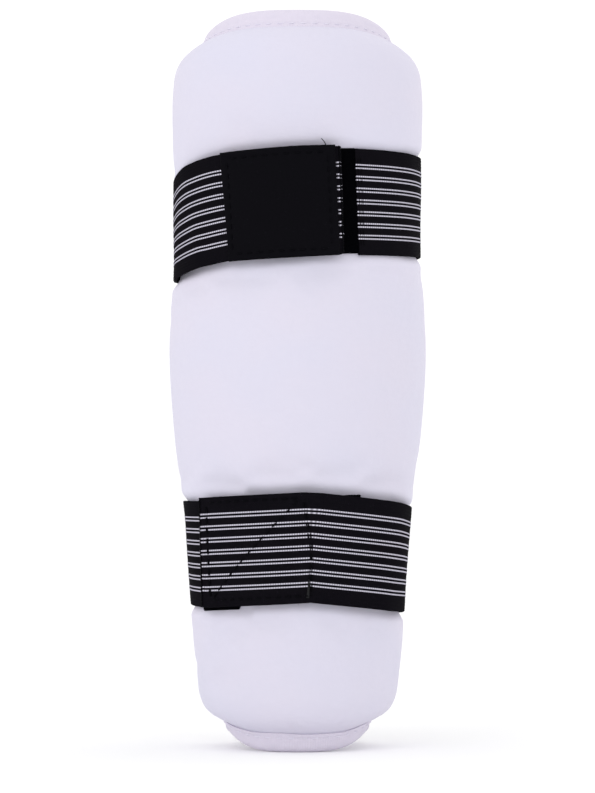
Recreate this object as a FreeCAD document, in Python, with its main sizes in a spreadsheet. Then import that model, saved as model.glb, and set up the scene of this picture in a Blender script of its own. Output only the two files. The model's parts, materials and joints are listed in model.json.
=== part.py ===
"""Forearm guard: a padded C-shaped sleeve, open along the back, with two elastic hook-and-loop straps.

Frame: +Z runs up the forearm from the wrist end, the padded front faces -Y and the open back faces +Y.
The origin is the middle of the bounding box, on the face that the guard stands on. Millimetres.

The sleeve is described by its inner surface. At each height that surface is a half circle round the
front, continued by two wings that curl inwards. A place on it is given by u, the distance along the
surface from the front centre line (positive towards +X), and by its height. Layers are offsets from it.
"""
import FreeCAD, Part
import Sketcher
import math
import os

Vector = FreeCAD.Vector
doc = FreeCAD.newDocument("forearm_guard")
sheet = doc.addObject("Spreadsheet::Sheet", "sizes")

# Driving dimensions, in mm and degrees.
DRIVING = {
    "guard_length": 274.0,
    "centre_depth": 6.4,
    "top_side_drop": 4.0,
    "top_drop_from": 228.0,
    "lining_thick": 0.8,
    "ply_gap": 0.2,
    "backing_thick": 3.0,
    "cover_thick": 0.8,
    "pad_height": 7.4,
    "core_gap": 0.5,
    "core_clearance": 2.1,
    "core_end_margin": 0.4,
    "core_side_margin": 0.9,
    "core_thinnest": 0.5,
    "ply_setback": 0.8,
    "backing_setback": 1.2,
    "pad_bottom": 7.8,
    "pad_top": 266.5,
    "pad_round": 13.0,
    "pad_rim": 8.0,
    "pad_past_side": -2.0,
    "pad_corner": 10.0,
    "groove_place": 12.5,
    "groove_width": 3.0,
    "groove_deep": 3.5,
    "binding_width": 7.5,
    "end_binding_width": 6.2,
    "level_cut": 0.05,
    "binding_thick": 0.7,
    "binding_gap": 0.5,
    "binding_corner_gap": 0.4,
    "stitch_pitch": 3.6,
    "stitch_length": 2.6,
    "stitch_radius": 0.25,
    "stitch_inset": 1.6,
    "stitch_lift": 0.15,
    "stitch_row_margin": 3.0,
    "end_row_margin": 2.5,
    "strap_stitch_margin": 0.8,
    "anchor_row_first": 2.5,
    "anchor_row_second": 4.5,
    "anchor_row_inset": 2.0,
    "strap_width": 39.5,
    "strap_thick": 1.5,
    "strap_gap": 0.35,
    "anchor_side_gap": 0.1,
    "anchor_start_gap": 0.6,
    "hinge_gap": 0.35,
    "side_hinge_back": 2.0,
    "loop_thick": 1.3,
    "loop_width": 38.0,
    "hook_thick": 1.1,
    "hook_inset": 1.0,
    "hook_length": 40.0,
    "hook_narrower": 2.0,
    "badge_thick": 1.2,
    "badge_length": 44.0,
    "badge_height": 41.0,
    "badge_inset": 1.0,
    "frame_row_near": 3.0,
    "frame_row_far": 1.5,
    "box_row_inset": 2.5,
    "badge_row_inset": 2.0,
    "hem_length": 1.2,
    "hem_raised": 0.25,
    "upper_strap_middle": 200.5,
    "upper_flap_end": 12.7,
    "upper_loop_start": -22.0,
    "upper_loop_end": 16.0,
    "lower_strap_middle": 73.0,
    "lower_flap_end": 27.0,
    "lower_loop_start": -17.6,
    "lower_loop_end": 28.4,
    "upper_hinge_x": 31.3,
    "upper_hinge_y": 45.8,
    "lower_hinge_x": 29.3,
    "lower_hinge_y": 44.3,
}

# The sleeve's shape at named heights: height, inner half width, wing length, and the angle the wing curls.
STATIONS = {
    "wrist_edge": (0.0, 22.0, 25.0, 5.0),
    "wrist": (16.0, 24.2, 26.5, 15.0),
    "lower_strap_foot": (50.0, 27.2, 30.5, 32.0),
    "lower_strap_head": (95.0, 30.6, 33.5, 28.0),
    "waist": (118.0, 33.2, 35.0, 20.0),
    "belly": (147.0, 35.0, 36.0, 16.0),
    "upper_strap_foot": (179.0, 33.8, 36.0, 32.0),
    "upper_strap_head": (222.0, 33.8, 36.0, 33.0),
    "crown": (244.0, 34.2, 36.0, 20.0),
    "shoulder": (260.0, 33.0, 35.0, 11.0),
    "elbow_edge": (274.0, 30.8, 34.0, 6.0),
}
STATION_FIELDS = ("height", "half_width", "wing", "curl")


def fill_sheet():
    """Writes every driving dimension into its own aliased cell."""
    entries = dict(DRIVING)
    for station, values in STATIONS.items():
        for field, value in zip(STATION_FIELDS, values):
            entries[station + "_" + field] = value
    for row, (alias, value) in enumerate(entries.items(), start=1):
        sheet.set("A%d" % row, alias.replace("_", " "))
        sheet.set("B%d" % row, str(value))
        sheet.setAlias("B%d" % row, alias)
    doc.recompute()


def size(alias):
    """The value of a driving dimension, read from the sheet."""
    return float(sheet.get(alias))


fill_sheet()
LENGTH = size("guard_length")
PROFILE = [[size(name + "_" + field) for field in STATION_FIELDS] for name in STATIONS]
BACKING_IN = size("lining_thick") + size("ply_gap")
BACKING_OUT = BACKING_IN + size("backing_thick")
COVER_IN = BACKING_OUT + size("ply_gap")
FLANGE_OUT = COVER_IN + size("cover_thick")
PAD_OUT = FLANGE_OUT + size("pad_height")
STRAP_HALF = size("strap_thick") / 2
END_TURNS = (15, 30, 45, 60, 75)
END_LEADS = (0.1, 0.6, 1.1)
SECTION_SPACING = 8.0
LEAST_SPACING = 0.4
END_SPACING = 0.6
# The angle round the front at which a flap leaves its front arc for its side arc.
SHOULDER = math.radians(40)
# Where the top edge is lowest, as a share of the distance from the front centre line to a wing's tip.
LOWEST_SHARE = 0.59
# The side that each strap's free flap comes round: -1 is -X. The straps' pieces are shaped for -X first.
FLAP_SIDE = {"upper": -1, "lower": 1}


# ---------------------------------------------------------------- the sleeve's surface
def smooth_between(heights, values, z):
    """Cubic through the stations, with slopes taken from their neighbours."""
    z = min(max(z, heights[0]), heights[-1])
    k = max(i for i in range(len(heights) - 1) if heights[i] <= z)
    slopes = []
    for i in (k, k + 1):
        before, after = max(i - 1, 0), min(i + 1, len(heights) - 1)
        slopes.append((values[after] - values[before]) / (heights[after] - heights[before]))
    span = heights[k + 1] - heights[k]
    f = (z - heights[k]) / span
    start = values[k] * (2 * f**3 - 3 * f**2 + 1) + slopes[0] * span * (f**3 - 2 * f**2 + f)
    finish = values[k + 1] * (3 * f**2 - 2 * f**3) + slopes[1] * span * (f**3 - f**2)
    return start + finish


def sleeve_shape(z):
    """Inner half width, wing length and curl in radians at a height."""
    heights = [row[0] for row in PROFILE]
    half_width, wing, curl = (smooth_between(heights, [row[i] for row in PROFILE], z) for i in (1, 2, 3))
    return half_width, wing, math.radians(curl)


def tip(z):
    """Distance along the surface from the front centre line to a wing's tip."""
    half_width, wing, _ = sleeve_shape(z)
    return math.pi / 2 * half_width + wing


def top_drop(u, z):
    """How far the sleeve's top dips at its sides, at a distance along the surface and a height."""
    ramp = min(max((z - size("top_drop_from")) / (LENGTH - size("top_drop_from")), 0.0), 1.0)
    share = min(abs(u) / tip(z), 1.0)
    wave = math.sin(math.pi / 2 * share / LOWEST_SHARE) ** 2
    return size("top_side_drop") * wave * ramp**2 * (3 - 2 * ramp)


def on_sleeve(u, z, offset):
    """The point at a distance along the surface, a height and an offset outwards."""
    half_width, wing, curl = sleeve_shape(z)
    side = math.copysign(1.0, u)
    quarter = math.pi / 2 * half_width
    if abs(u) <= quarter:
        turn = abs(u) / half_width
        x = (half_width + offset) * math.sin(turn)
        y = -(half_width + offset) * math.cos(turn)
    else:
        wing_radius = wing / curl
        turn = (abs(u) - quarter) / wing_radius
        x = half_width - wing_radius + (wing_radius + offset) * math.cos(turn)
        y = (wing_radius + offset) * math.sin(turn)
    return Vector(side * x, y + size("centre_depth"), z - top_drop(u, z))


def pad_rise(u, z, shrink):
    """Height of the thick pad above the flange, from 0 outside it to pad_height on top, with rounded rims."""
    half_width = sleeve_shape(z)[0]
    end_near = min(z - size("pad_bottom"), size("pad_top") - z) - shrink
    if end_near <= 0:
        return 0.0
    end_part = min(end_near / size("pad_round"), 1.0)
    end_rise = math.sqrt(1 - (1 - end_part) ** 2)
    side_limit = math.pi / 2 * half_width + size("pad_past_side") + size("pad_rim")
    side_limit -= shrink + size("pad_corner") * (1 - end_rise)
    side_part = min(max(side_limit - abs(u), 0.0) / size("pad_rim"), 1.0)
    side_rise = math.sqrt(1 - (1 - side_part) ** 2)
    return size("pad_height") * min(end_rise, 1.0) * side_rise


# ---------------------------------------------------------------- lofted layers
def heights_between(low, high):
    """Section heights: even steps, with closer ones where the pad's two ends are rounded."""
    steps = int(round(LENGTH / SECTION_SPACING))
    places = [LENGTH * i / steps for i in range(steps + 1)]
    for turn in END_TURNS:
        rise = size("pad_round") * (1 - math.cos(math.radians(turn)))
        places += [size("pad_bottom") + rise, size("pad_top") - rise]
    for lead in END_LEADS:
        places += [size("pad_bottom") - lead, size("pad_top") + lead]
    inside = sorted(z for z in places if low + END_SPACING < z < high - END_SPACING)
    kept = [low]
    for z in inside:
        if z - kept[-1] > LEAST_SPACING:
            kept.append(z)
    return kept + [high]


def spread(reach, count=26):
    """Distances from -reach to reach, closer together towards both ends."""
    return [reach * math.sin(math.pi / 2 * i / count) for i in range(-count, count + 1)]


def even_knots(count):
    """Knots and multiplicities of a clamped cubic with evenly spaced knots."""
    inner = count - 4
    return [float(k) for k in range(inner + 2)], [4] + [1] * inner + [4]


def smooth_surface(net):
    """Cubic surface over a net of control points."""
    z_knots, z_multiples = even_knots(len(net))
    u_knots, u_multiples = even_knots(len(net[0]))
    surface = Part.BSplineSurface()
    surface.buildFromPolesMultsKnots(net, z_multiples, u_multiples, z_knots, u_knots, False, False, 3, 3)
    return surface


def rims(surface):
    """The four border edges of a surface."""
    z_low, z_high, u_low, u_high = surface.bounds()
    curves = [surface.uIso(z_low), surface.uIso(z_high), surface.vIso(u_low), surface.vIso(u_high)]
    return [curve.toShape() for curve in curves]


def slab(heights, distances, inner, outer, inner_distances=None):
    """Solid between two offset surfaces; inner and outer give the offset at a distance u and a height."""
    within = inner_distances or distances
    outside = smooth_surface([[on_sleeve(u, z, outer(u, z)) for u in distances(z)] for z in heights])
    inside = smooth_surface([[on_sleeve(u, z, inner(u, z)) for u in within(z)] for z in heights])
    walls = [Part.makeRuledSurface(first, second) for first, second in zip(rims(outside), rims(inside))]
    shell = Part.makeShell([outside.toShape(), inside.toShape()] + walls)
    shell.sewShape()
    return Part.makeSolid(shell)


def lofted(wires):
    return Part.makeLoft(wires, True, True)


def layer(low, high, reach, inner, outer):
    """A ply of the sleeve from one height to another, reaching a distance to each side."""
    return slab(heights_between(low, high), lambda z: spread(reach(z)), inner, outer)


def constant(offset):
    return lambda u, z: offset


# ---------------------------------------------------------------- plies of the sleeve
def inner_lining():
    edge = size("ply_setback")
    return layer(edge, LENGTH - edge, tip, constant(0.0), constant(size("lining_thick")))


def foam_backing():
    edge = size("backing_setback")
    return layer(edge, LENGTH - edge, lambda z: tip(z) - edge, constant(BACKING_IN), constant(BACKING_OUT))


def outer_cover():
    def inner(u, z):
        return COVER_IN + pad_rise(u, z, size("cover_thick"))

    def outer(u, z):
        return FLANGE_OUT + pad_rise(u, z, 0.0)

    edge = size("ply_setback")
    return layer(edge, LENGTH - edge, tip, inner, outer)


def foam_core():
    """Thick foam slab inside the cover, with two bend grooves along its back."""
    shrink = size("core_clearance")
    low = size("pad_bottom") + shrink + size("core_end_margin")
    high = size("pad_top") - shrink - size("core_end_margin")

    def reach(z):
        end_near = min(z - size("pad_bottom"), size("pad_top") - z) - shrink
        end_part = min(end_near / size("pad_round"), 1.0)
        end_rise = math.sqrt(1 - (1 - end_part) ** 2)
        limit = math.pi / 2 * sleeve_shape(z)[0] + size("pad_past_side") + size("pad_rim")
        return limit - shrink - size("pad_corner") * (1 - end_rise) - size("core_side_margin")

    def inner(u, z):
        into = max(0.0, 1.0 - abs(abs(u) - size("groove_place")) / (size("groove_width") / 2))
        end_part = min(min(z - low, high - z) / size("pad_round"), 1.0)
        return COVER_IN + size("ply_gap") / 2 + into * size("groove_deep") * end_part

    def outer(u, z):
        return COVER_IN + max(pad_rise(u, z, shrink) - size("core_gap"), size("core_thinnest"))

    def grooved(z):
        """Closer together round the two grooves, so that they keep their shape."""
        groove, half = size("groove_place"), size("groove_width") / 2
        marks = [0.0, groove / 2, groove - 2 * half, groove - half, groove, groove + half, groove + 2 * half]
        outermost = groove + 3 * half
        count = 12
        span = reach(z) - outermost
        marks += [outermost + span * math.sin(math.pi / 2 * i / count) for i in range(count + 1)]
        return [-d for d in marks[:0:-1]] + marks

    return slab(heights_between(low, high), lambda z: spread(reach(z)), inner, outer, grooved)


# ---------------------------------------------------------------- bindings and their thread
def u_profile(place, width):
    """The eight corners of a folded tape: place(along, offset) maps them, along measured from the edge."""
    thick, gap = size("binding_thick"), size("binding_gap")
    outside, inside = FLANGE_OUT + gap, -gap
    corners = [
        (-width, outside),
        (-width, outside + thick),
        (thick, outside + thick),
        (thick, inside - thick),
        (-width, inside - thick),
        (-width, inside),
        (0.0, inside),
        (0.0, outside),
    ]
    points = [place(along, offset) for along, offset in corners]
    return Part.makePolygon(points + points[:1])


def end_binding(edge, direction):
    """Tape folded over the top edge (direction 1) or the bottom edge (direction -1)."""
    clear = size("binding_width") + size("binding_corner_gap")
    width = size("end_binding_width")
    fold = edge - direction * size("binding_thick")
    inner_end = fold - direction * width
    reach = min(tip(fold), tip(inner_end)) - clear
    count = 24
    wires = []
    for i in range(-count, count + 1):
        u = reach * i / count
        base = on_sleeve(u, fold, 0.0)
        outwards = on_sleeve(u, fold, 1.0) - base
        towards_edge = (base - on_sleeve(u, inner_end, 0.0)) / width
        wires.append(u_profile(lambda along, offset: base + towards_edge * along + outwards * offset, width))
    return lofted(wires)


def bottom_binding():
    """The bottom tape, cut level so that the guard stands on one flat face."""
    half = LENGTH / 2
    below = Part.makeBox(LENGTH, LENGTH, LENGTH, Vector(-half, -half, -LENGTH))
    return end_binding(-size("level_cut"), -1).cut(below)


def side_binding(side):
    """Tape folded over a wing's edge, from end to end."""

    def section(z):
        level = z - top_drop(tip(z), z)

        def place(along, offset):
            point = on_sleeve(side * (tip(z) + along), z, offset)
            return Vector(point.x, point.y, level)

        return u_profile(place, size("binding_width"))

    return lofted([section(z) for z in heights_between(0.0, LENGTH)])


def stitch(start, finish):
    return Part.makeCylinder(size("stitch_radius"), (finish - start).Length, start, finish - start)


def stitch_row(point_at, low, high):
    """Short straight stitches between two distances along a row."""
    count = int((high - low) / size("stitch_pitch"))
    half = size("stitch_length") / 2
    stitches = []
    for i in range(count):
        middle = low + (i + 0.5) * (high - low) / count
        stitches.append(stitch(point_at(middle - half), point_at(middle + half)))
    return stitches


def thread_offsets():
    """Offsets at which thread lies on the outside and on the inside of a binding."""
    lift = size("binding_gap") + size("binding_thick") + size("stitch_radius") + size("stitch_lift")
    return FLANGE_OUT + lift, -lift


def side_thread(side):
    inset = size("binding_width") - size("stitch_inset")
    stitches = []
    for offset in thread_offsets():

        def point_at(z, offset=offset):
            return on_sleeve(side * (tip(z) - inset), z, offset)

        margin = size("stitch_row_margin")
        stitches += stitch_row(point_at, margin, LENGTH - margin)
    return Part.makeCompound(stitches)


def end_thread(edge, direction):
    z = edge - direction * (size("end_binding_width") - size("stitch_inset"))
    reach = tip(z) - size("binding_width") - size("end_row_margin")
    stitches = []
    for offset in thread_offsets():

        def point_at(u, offset=offset):
            return on_sleeve(u, z, offset)

        stitches += stitch_row(point_at, -reach, reach)
    return Part.makeCompound(stitches)


# ---------------------------------------------------------------- straps
class Arc:
    """Part of a circle, walked so that the left-hand side is outwards."""

    def __init__(self, centre, radius, start, finish):
        self.centre, self.radius, self.start, self.finish = centre, radius, start, finish

    def point(self, share, out):
        angle = self.start + share * (self.finish - self.start)
        return self.centre + Vector(math.cos(angle), math.sin(angle), 0) * (self.radius + out)


class Run:
    """A straight stretch."""

    def __init__(self, start, finish):
        self.start, self.finish = start, finish

    def point(self, share, out):
        along = self.finish - self.start
        left = Vector(-along.y, along.x, 0).normalize()
        return self.start + along * share + left * out


def edge_on(stretch, out, backwards=False):
    """The edge at a distance outwards from a stretch of a strap's middle line."""
    shares = (1.0, 0.5, 0.0) if backwards else (0.0, 0.5, 1.0)
    points = [stretch.point(share, out) for share in shares]
    if isinstance(stretch, Run):
        return Part.makeLine(points[0], points[2])
    return Part.Arc(*points).toShape()


def band_wire(stretches, inner, outer, round_end=False):
    """Closed outline of a band that follows a middle line between two offsets from it."""
    edges = [edge_on(stretch, outer) for stretch in stretches]
    last, first = stretches[-1], stretches[0]
    finish_out, finish_in = last.point(1.0, outer), last.point(1.0, inner)
    if round_end:
        along = (last.finish - last.start).normalize()
        cap = last.point(1.0, 0.0) + along * outer
        edges.append(Part.Arc(finish_out, cap, finish_in).toShape())
    else:
        edges.append(Part.makeLine(finish_out, finish_in))
    edges += [edge_on(stretch, inner, backwards=True) for stretch in reversed(stretches)]
    edges.append(Part.makeLine(first.point(0.0, inner), first.point(0.0, outer)))
    return Part.Wire(edges)


def strap_settings(name):
    """Middle height and hinge corner of the strap called upper or lower."""
    hinge = (size(name + "_hinge_x"), size(name + "_hinge_y"))
    return size(name + "_strap_middle"), hinge


def widest_x(name, lift):
    """How far out a strap's middle line runs at its side, for its distance from the pad there."""
    middle = strap_settings(name)[0]
    half_widths = [sleeve_shape(middle + step * size("strap_width") / 2)[0] for step in (-1, 0, 1)]
    return max(half_widths) + PAD_OUT + lift


def rear_stretches(name, z, lift, start_y):
    """Middle line from the widest place at the -X side to the rear corner. It is the same at every height
    of a strap, though the sleeve tapers, so that the hinge axes are upright."""
    side_x = -widest_x(name, lift)
    turn_radius = size("pad_height") + lift
    turn_centre = Vector(side_x + turn_radius, size("centre_depth") + size("side_hinge_back"), z)
    hinge = strap_settings(name)[1]
    corner = Vector(-hinge[0], hinge[1], z)
    gap = corner - turn_centre
    tangent = math.atan2(gap.y, gap.x) + math.acos(turn_radius / gap.Length)
    leave = turn_centre + Vector(math.cos(tangent), math.sin(tangent), 0) * turn_radius
    return [
        Run(Vector(side_x, start_y, z), Vector(side_x, turn_centre.y, z)),
        Arc(turn_centre, turn_radius, math.pi, tangent),
        Run(leave, corner),
    ]


def flap_path(name, z):
    """Middle line of a strap's free flap, from its end on the front to the -X side, then on to the rear."""
    layers = size("loop_thick") + size("hook_thick") + 3 * size("ply_gap") + size("strap_gap")
    side_lift = STRAP_HALF + size("strap_gap")
    half_width = sleeve_shape(z)[0]
    centre = Vector(0, size("centre_depth"), z)
    front_radius = half_width + PAD_OUT + layers + STRAP_HALF
    front_start = -math.pi / 2 + size(name + "_flap_end") / half_width
    shoulder = -math.pi / 2 - SHOULDER
    shift = (front_radius - widest_x(name, side_lift)) / (1 + math.cos(shoulder))
    side_centre = centre + Vector(math.cos(shoulder), math.sin(shoulder), 0) * shift
    return [
        Arc(centre, front_radius, front_start, shoulder),
        Arc(side_centre, front_radius - shift, shoulder, -math.pi),
    ] + rear_stretches(name, z, side_lift, side_centre.y)


def anchor_path(name, z):
    """Middle line of a strap's sewn-down end, drawn on the -X side: one arc from the front to the side."""
    lift = STRAP_HALF + size("ply_gap")
    side_lift = lift + size("anchor_side_gap")
    begin = on_sleeve(-(size(name + "_loop_end") + size("anchor_start_gap")), z, PAD_OUT + lift)
    across = begin.x + widest_x(name, side_lift)
    forward = size("centre_depth") - begin.y
    radius = (across**2 + forward**2) / (2 * across)
    centre = Vector(radius - widest_x(name, side_lift), size("centre_depth"), z)
    start = math.atan2(begin.y - centre.y, begin.x - centre.x)
    return [Arc(centre, radius, start, -math.pi)] + rear_stretches(name, z, side_lift, centre.y)


def two_level(name, height, wire_at):
    """A band between its lower and upper outlines, centred on a strap's middle height."""
    middle = strap_settings(name)[0]
    return lofted([wire_at(middle - height / 2), wire_at(middle + height / 2)])


def shortened(run, at_start, at_finish):
    """A straight stretch with some of its length taken off each end."""
    along = (run.finish - run.start).normalize()
    return Run(run.start + along * at_start, run.finish - along * at_finish)


def hinge_clearance():
    """Distance from a hinge axis to the piece that turns round the other's rounded end."""
    return STRAP_HALF + size("hinge_gap")


def strap_flap(name):
    """Free end of a strap, from the side hinge round the front."""

    def wire_at(z):
        front, side, straight = flap_path(name, z)[:3]
        stretches = [front, side, shortened(straight, 0.0, hinge_clearance())]
        return band_wire(stretches, -STRAP_HALF, STRAP_HALF)

    return two_level(name, size("strap_width"), wire_at)


def side_hinge(name):
    """Where a strap's side hinge is, seen from above."""
    return flap_path(name, strap_settings(name)[0])[2].finish


def strap_side(name):
    """Stretch of a strap from the rear corner to the side hinge, where its end is round."""

    def wire_at(z):
        path = flap_path(name, z)
        lead = shortened(Run(path[4].finish, path[2].finish), hinge_clearance(), 0.0)
        return band_wire([lead], -STRAP_HALF, STRAP_HALF, round_end=True)

    return two_level(name, size("strap_width"), wire_at)


def front_band(name, start_u, length, inner, outer, height):
    """A short piece that lies on the front stretch of a flap, from a distance along it."""

    def wire_at(z):
        front = flap_path(name, z)[0]
        half_width = sleeve_shape(z)[0]
        begin = -math.pi / 2 + start_u / half_width
        arc = Arc(front.centre, front.radius, begin, begin - length / front.radius)
        return band_wire([arc], inner, outer)

    return two_level(name, height, wire_at)


def hook_tape(name):
    outer = -STRAP_HALF - size("ply_gap") / 2
    height = size("loop_width") - size("hook_narrower")
    start = size(name + "_flap_end") - size("hook_inset")
    return front_band(name, start, size("hook_length"), outer - size("hook_thick"), outer, height)


def badge():
    inner = STRAP_HALF + size("ply_gap") / 2
    start = size("upper_flap_end") - size("badge_inset")
    height = size("badge_height")
    return front_band("upper", start, size("badge_length"), inner, inner + size("badge_thick"), height)


def flap_hem(name):
    """Thread wrapped over the cut end of a flap."""
    length = size("hem_length")
    half = STRAP_HALF + size("hem_raised")
    start = size(name + "_flap_end") + length + size("ply_gap")
    return front_band(name, start, length, -half, half, size("strap_width"))


def mirrored(shape):
    """The same shape on the other side of the guard."""
    return shape.mirror(Vector(0, 0, 0), Vector(1, 0, 0))


def strap_anchor(name):
    """Sewn-down end of a strap, from the front of the pad round its side to the rear corner."""

    def wire_at(z):
        return band_wire(anchor_path(name, z), -STRAP_HALF, STRAP_HALF, round_end=True)

    return mirrored(two_level(name, size("strap_width"), wire_at))


def loop_tape(name):
    """Fuzzy tape sewn on the front of the pad."""
    middle = strap_settings(name)[0]
    half = size("loop_width") / 2
    lift = PAD_OUT + size("ply_gap")
    start, finish = size(name + "_loop_start"), size(name + "_loop_end")
    columns, rows = 12, 6
    distances = [start + (finish - start) * i / columns for i in range(columns + 1)]
    heights = [middle - half + 2 * half * i / rows for i in range(rows + 1)]
    return slab(heights, lambda z: distances, constant(lift), constant(lift + size("loop_thick")))


def band_point(front, along, offset):
    """A point on a strap's front arc, at a distance from the strap's end and outwards from its middle line."""
    angle = front.start - along / front.radius
    return front.centre + Vector(math.cos(angle), math.sin(angle), 0) * (front.radius + offset)


def anchor_thread(name):
    """Two rows of stitches across the sewn-down end of a strap."""
    middle = strap_settings(name)[0]
    half = size("strap_width") / 2 - size("anchor_row_inset")
    offset = STRAP_HALF + size("stitch_radius") + size("stitch_lift")
    stitches = []
    for row in ("anchor_row_first", "anchor_row_second"):

        def point_at(z, row=row):
            return band_point(anchor_path(name, z)[0], size(row), offset)

        stitches += stitch_row(point_at, middle - half, middle + half)
    return mirrored(Part.makeCompound(stitches))


def frame_of_stitches(name, reach, half, offset, with_diagonal):
    """Stitches round a rectangle on a flap, from near its free end to a reach from there."""
    middle = strap_settings(name)[0]
    near, far = size("frame_row_near"), reach - size("frame_row_far")
    low, high = middle - half, middle + half

    def row_between(start, finish):
        across, up = finish[0] - start[0], finish[1] - start[1]
        length = math.hypot(across, up)

        def point_at(distance):
            share = distance / length
            front = flap_path(name, start[1] + share * up)[0]
            return band_point(front, start[0] + share * across, offset)

        margin = size("strap_stitch_margin")
        return stitch_row(point_at, margin, length - margin)

    corners = [(near, low), (near, high), (far, high), (far, low)]
    stitches = []
    for start, finish in zip(corners, corners[1:] + corners[:1]):
        stitches += row_between(start, finish)
    if with_diagonal:
        stitches += row_between(corners[0], corners[2])
    return Part.makeCompound(stitches)


def box_thread():
    """Stitching that holds the hook tape under the lower flap: a box with one diagonal."""
    offset = STRAP_HALF + size("stitch_radius") + size("stitch_lift")
    half = size("strap_width") / 2 - size("box_row_inset")
    return frame_of_stitches("lower", size("hook_length"), half, offset, True)


def badge_thread():
    """Stitches round the badge, just inside its edge."""
    top = STRAP_HALF + size("ply_gap") / 2 + size("badge_thick")
    offset = top + size("stitch_radius") + size("stitch_lift")
    half = size("badge_height") / 2 - size("badge_row_inset")
    return frame_of_stitches("upper", size("badge_length"), half, offset, False)


def strap_back(name):
    """Straight span across the open back, as a body with a padded sketch; one end is round."""
    label = name + "_strap_back"
    body = doc.addObject("PartDesign::Body", label)
    plane = [item for item in body.Origin.OriginFeatures if item.Role == "XY_Plane"][0]
    sketch = body.newObject("Sketcher::SketchObject", label + "_outline")
    sketch.AttachmentSupport = [(plane, "")]
    sketch.MapMode = "FlatFace"
    reach, half = strap_settings(name)[1][0], STRAP_HALF
    near = reach - half - size("hinge_gap")
    corners = [Vector(-reach, -half, 0), Vector(near, -half, 0), Vector(near, half, 0), Vector(-reach, half, 0)]
    for start, finish in zip(corners, corners[1:]):
        sketch.addGeometry(Part.LineSegment(start, finish), False)
    cap = Part.Arc(corners[3], Vector(-reach - half, 0, 0), corners[0])
    sketch.addGeometry(cap, False)
    rule = Sketcher.Constraint
    for i in range(4):
        sketch.addConstraint(rule("Coincident", i, 2, (i + 1) % 4, 1))
    sketch.addConstraint(rule("Horizontal", 0))
    sketch.addConstraint(rule("Vertical", 1))
    sketch.addConstraint(rule("Horizontal", 2))
    sketch.addConstraint(rule("PointOnObject", 3, 3, -1))
    sketch.addConstraint(rule("Vertical", 3, 3, 3, 1))
    sketch.addConstraint(rule("Vertical", 3, 3, 3, 2))
    reach_rule = sketch.addConstraint(rule("DistanceX", 3, 3, -1, 1, reach))
    near_rule = sketch.addConstraint(rule("DistanceX", -1, 1, 0, 2, near))
    thick_rule = sketch.addConstraint(rule("DistanceY", 0, 2, 1, 2, 2 * half))
    hinge = "sizes.%s_hinge_x" % name
    sketch.setExpression("Constraints[%d]" % reach_rule, hinge)
    sketch.setExpression("Constraints[%d]" % near_rule, hinge + " - sizes.strap_thick / 2 - sizes.hinge_gap")
    sketch.setExpression("Constraints[%d]" % thick_rule, "sizes.strap_thick")
    pad = body.newObject("PartDesign::Pad", label + "_span")
    pad.Profile = sketch
    pad.setExpression("Length", "sizes.strap_width")
    turned = 180.0 if FLAP_SIDE[name] > 0 else 0.0
    body.Placement = FreeCAD.Placement(Vector(), FreeCAD.Rotation(Vector(0, 0, 1), turned))
    body.setExpression("Placement.Base.y", "sizes.%s_hinge_y" % name)
    body.setExpression("Placement.Base.z", "sizes.%s_strap_middle - sizes.strap_width / 2" % name)
    body.Label = label
    return body


# ---------------------------------------------------------------- the document
def add_feature(label, shape):
    """A document object that holds a finished shape."""
    feature = doc.addObject("Part::Feature", label)
    feature.Shape = shape
    feature.Placement = FreeCAD.Placement()
    feature.Label = label
    return feature


def build_all():
    """Every sub-part of the guard, in the order it would be assembled."""
    shapes = {
        "inner_lining": inner_lining(),
        "foam_backing": foam_backing(),
        "foam_core": foam_core(),
        "outer_cover": outer_cover(),
        "top_binding": end_binding(LENGTH, 1),
        "bottom_binding": bottom_binding(),
        "left_binding": side_binding(-1),
        "right_binding": side_binding(1),
        "top_binding_thread": end_thread(LENGTH, 1),
        "bottom_binding_thread": end_thread(0.0, -1),
        "left_binding_thread": side_thread(-1),
        "right_binding_thread": side_thread(1),
    }
    for name, side in FLAP_SIDE.items():
        pieces = {
            "loop_tape": loop_tape(name),
            "strap_anchor": strap_anchor(name),
            "anchor_thread": anchor_thread(name),
            "strap_side": strap_side(name),
            "strap_flap": strap_flap(name),
            "hook_tape": hook_tape(name),
            "flap_hem": flap_hem(name),
        }
        if name == "upper":
            pieces["badge"] = badge()
            pieces["badge_thread"] = badge_thread()
        else:
            pieces["box_thread"] = box_thread()
        for label, shape in pieces.items():
            shapes[name + "_" + label] = mirrored(shape) if side > 0 else shape
    parts = [add_feature(label, shape) for label, shape in shapes.items()]
    parts += [strap_back(name) for name in FLAP_SIDE]
    return parts


def check(parts):
    """Stops if any object failed, or if a sub-part's shape is missing or not valid."""
    for item in doc.Objects:
        if "Invalid" in item.State or "Error" in item.State:
            raise RuntimeError("failed: " + item.Label)
    for part in parts:
        if part.Shape.isNull() or not part.Shape.isValid():
            raise RuntimeError("bad shape: " + part.Label)


parts = build_all()
doc.recompute()
check(parts)
os.makedirs("parts", exist_ok=True)
for part in parts:
    part.Shape.exportStep(os.path.join("parts", part.Label + ".step"))
    solids = part.Shape.Solids
    print("%-24s solids %3d  volume %9.1f" % (part.Label, len(solids), part.Shape.Volume))
for name, side in FLAP_SIDE.items():
    hinge_line = side_hinge(name)
    print("%s side hinge x %.2f y %.2f" % (name, side * abs(hinge_line.x), hinge_line.y))
box = Part.makeCompound([part.Shape for part in parts]).BoundBox
print("box x %.2f %.2f  y %.2f %.2f  z %.2f %.2f" % (box.XMin, box.XMax, box.YMin, box.YMax, box.ZMin, box.ZMax))
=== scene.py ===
"""The looks of a padded forearm guard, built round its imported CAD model.

Lengths are in mm until a mesh is made. The frame is the CAD's: +Z from the wrist end up the forearm, the
padded front faces -Y and the open back +Y.
"""
import json
import math

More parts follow.
